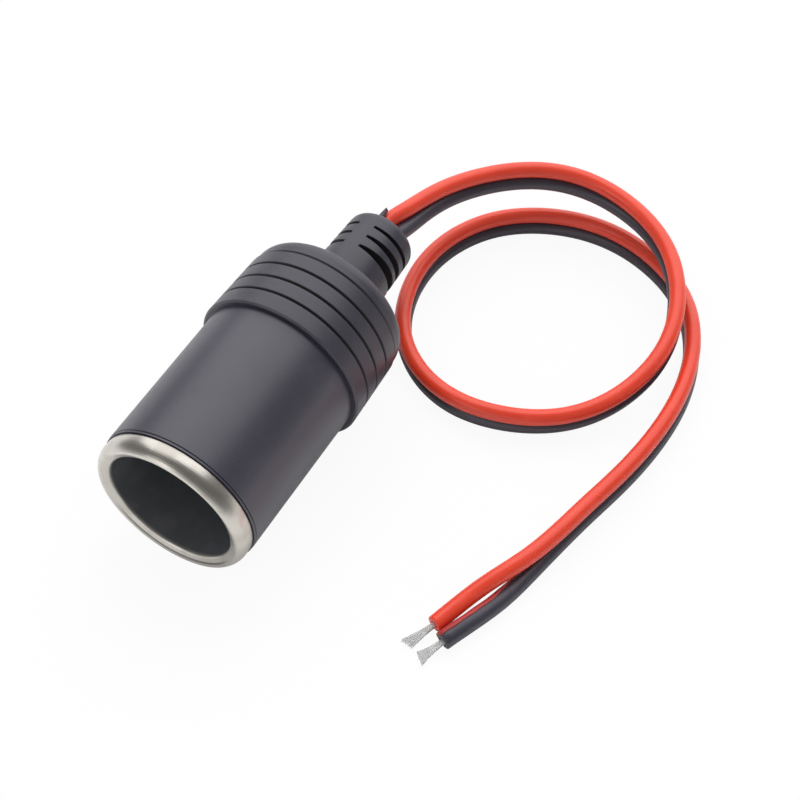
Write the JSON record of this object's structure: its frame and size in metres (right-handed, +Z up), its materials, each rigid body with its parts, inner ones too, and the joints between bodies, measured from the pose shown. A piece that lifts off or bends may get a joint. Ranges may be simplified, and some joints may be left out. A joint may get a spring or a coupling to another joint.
{
  "type": "cigarette lighter socket",
  "caption": "In-line vehicle power socket: a drawn metal cup with a rolled lip in a plain sleeve, a grooved rubber boot with strain relief, and a looped red and black lead with bare ends.",
  "frame": {"origin": "on the ground below the middle of the body, from the rolled lip to the tongue of flash at the cable exit", "axes": "+Z up, +Y along the barrel from the mouth to the cable exit, which rises 2.08 degrees as the body rests on the front edge of its barrel and on its collar; +X to the right seen from the mouth's side, where the lead's loop lies"},
  "size_m": [0.0702, 0.097, 0.0288],
  "materials": {
    "nickel_plate": "bright nickel plate on drawn steel",
    "sleeve_plastic": "satin moulded, dark grey",
    "boot_rubber": "matt moulded, dark grey",
    "contact_brass": "plain",
    "insulating_board": "brown hard paper laminate",
    "tinned_brass": "tinned sheet",
    "plated_rivet": "zinc plated",
    "solder": "dull",
    "red_insulation": "satin PVC",
    "black_insulation": "satin PVC",
    "tinned_copper": "tinned wire",
    "red_web": "torn PVC edge"
  },
  "bodies": {
    "root": {"socket_shell": "nickel_plate", "barrel_sleeve": "sleeve_plastic", "rear_boot": "boot_rubber", "centre_contact": "contact_brass", "inner_washer": "insulating_board", "outer_washer": "insulating_board", "positive_tag": "tinned_brass", "ground_tag": "tinned_brass", "ground_rivet": "plated_rivet", "positive_solder": "solder", "ground_solder": "solder", "red_core": "red_insulation", "black_core": "black_insulation", "red_strands": "tinned_copper", "black_strands": "tinned_copper", "torn_web": "red_web"}
  },
  "joints": []
}
